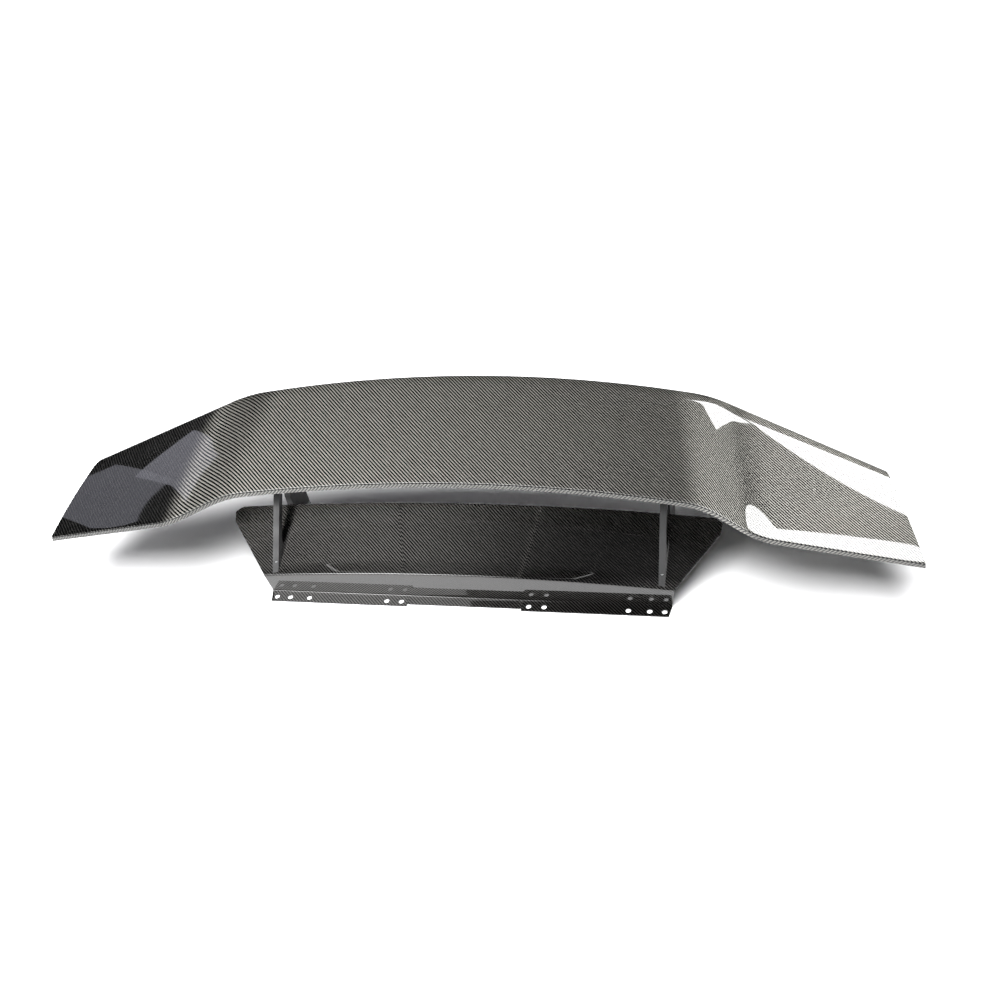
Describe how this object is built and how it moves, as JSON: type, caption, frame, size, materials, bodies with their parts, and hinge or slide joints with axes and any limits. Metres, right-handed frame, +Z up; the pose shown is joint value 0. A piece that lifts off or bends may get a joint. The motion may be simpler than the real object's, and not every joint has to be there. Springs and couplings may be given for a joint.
{
  "type": "racing rear wing",
  "caption": "Gull-shaped glossy carbon rear wing blade on two plate uprights over a thin carbon base cover with a drilled bolting flange.",
  "frame": {"origin": "underside of the bolting flange, half way along the span, on the line of the flange holes", "axes": "+X along the span to the right, +Y from the trailing edge to the leading edge, +Z up from the surface the wing stands on"},
  "size_m": [1.6306, 0.3436, 0.2808],
  "materials": {
    "gloss_carbon": "clear-coated 2x2 twill carbon fibre laminate",
    "dull_carbon": "uncoated carbon fibre laminate",
    "black_plate": "satin black coated aluminium plate",
    "aluminium": "machined aluminium",
    "zinc_steel": "zinc plated steel"
  },
  "bodies": {
    "root": {"blade_upper_skin": "gloss_carbon", "blade_lower_skin": "gloss_carbon", "tip_cap_left": "gloss_carbon", "tip_cap_right": "gloss_carbon", "base_cover": "gloss_carbon", "rear_spar": "dull_carbon", "front_spar": "dull_carbon", "kink_rib_left": "dull_carbon", "kink_rib_right": "dull_carbon", "upright_left": "black_plate", "upright_right": "black_plate", "hardpoint_left": "aluminium", "saddle_left": "aluminium", "backing_plate_left": "aluminium", "hardpoint_right": "aluminium", "saddle_right": "aluminium", "backing_plate_right": "aluminium", "foot_angle_left": "zinc_steel", "saddle_bolt_left_1": "zinc_steel", "saddle_bolt_left_2": "zinc_steel", "saddle_bolt_left_3": "zinc_steel", "saddle_bolt_left_4": "zinc_steel", "saddle_screw_left_1": "zinc_steel", "saddle_screw_left_2": "zinc_steel", "foot_screw_left_1": "zinc_steel", "foot_screw_left_2": "zinc_steel", "foot_bolt_left_1": "zinc_steel", "foot_bolt_left_2": "zinc_steel", "foot_nut_left_1": "zinc_steel", "foot_nut_left_2": "zinc_steel", "foot_angle_right": "zinc_steel", "saddle_bolt_right_1": "zinc_steel", "saddle_bolt_right_2": "zinc_steel", "saddle_bolt_right_3": "zinc_steel", "saddle_bolt_right_4": "zinc_steel", "saddle_screw_right_1": "zinc_steel", "saddle_screw_right_2": "zinc_steel", "foot_screw_right_1": "zinc_steel", "foot_screw_right_2": "zinc_steel", "foot_bolt_right_1": "zinc_steel", "foot_bolt_right_2": "zinc_steel", "foot_nut_right_1": "zinc_steel", "foot_nut_right_2": "zinc_steel"}
  },
  "joints": []
}
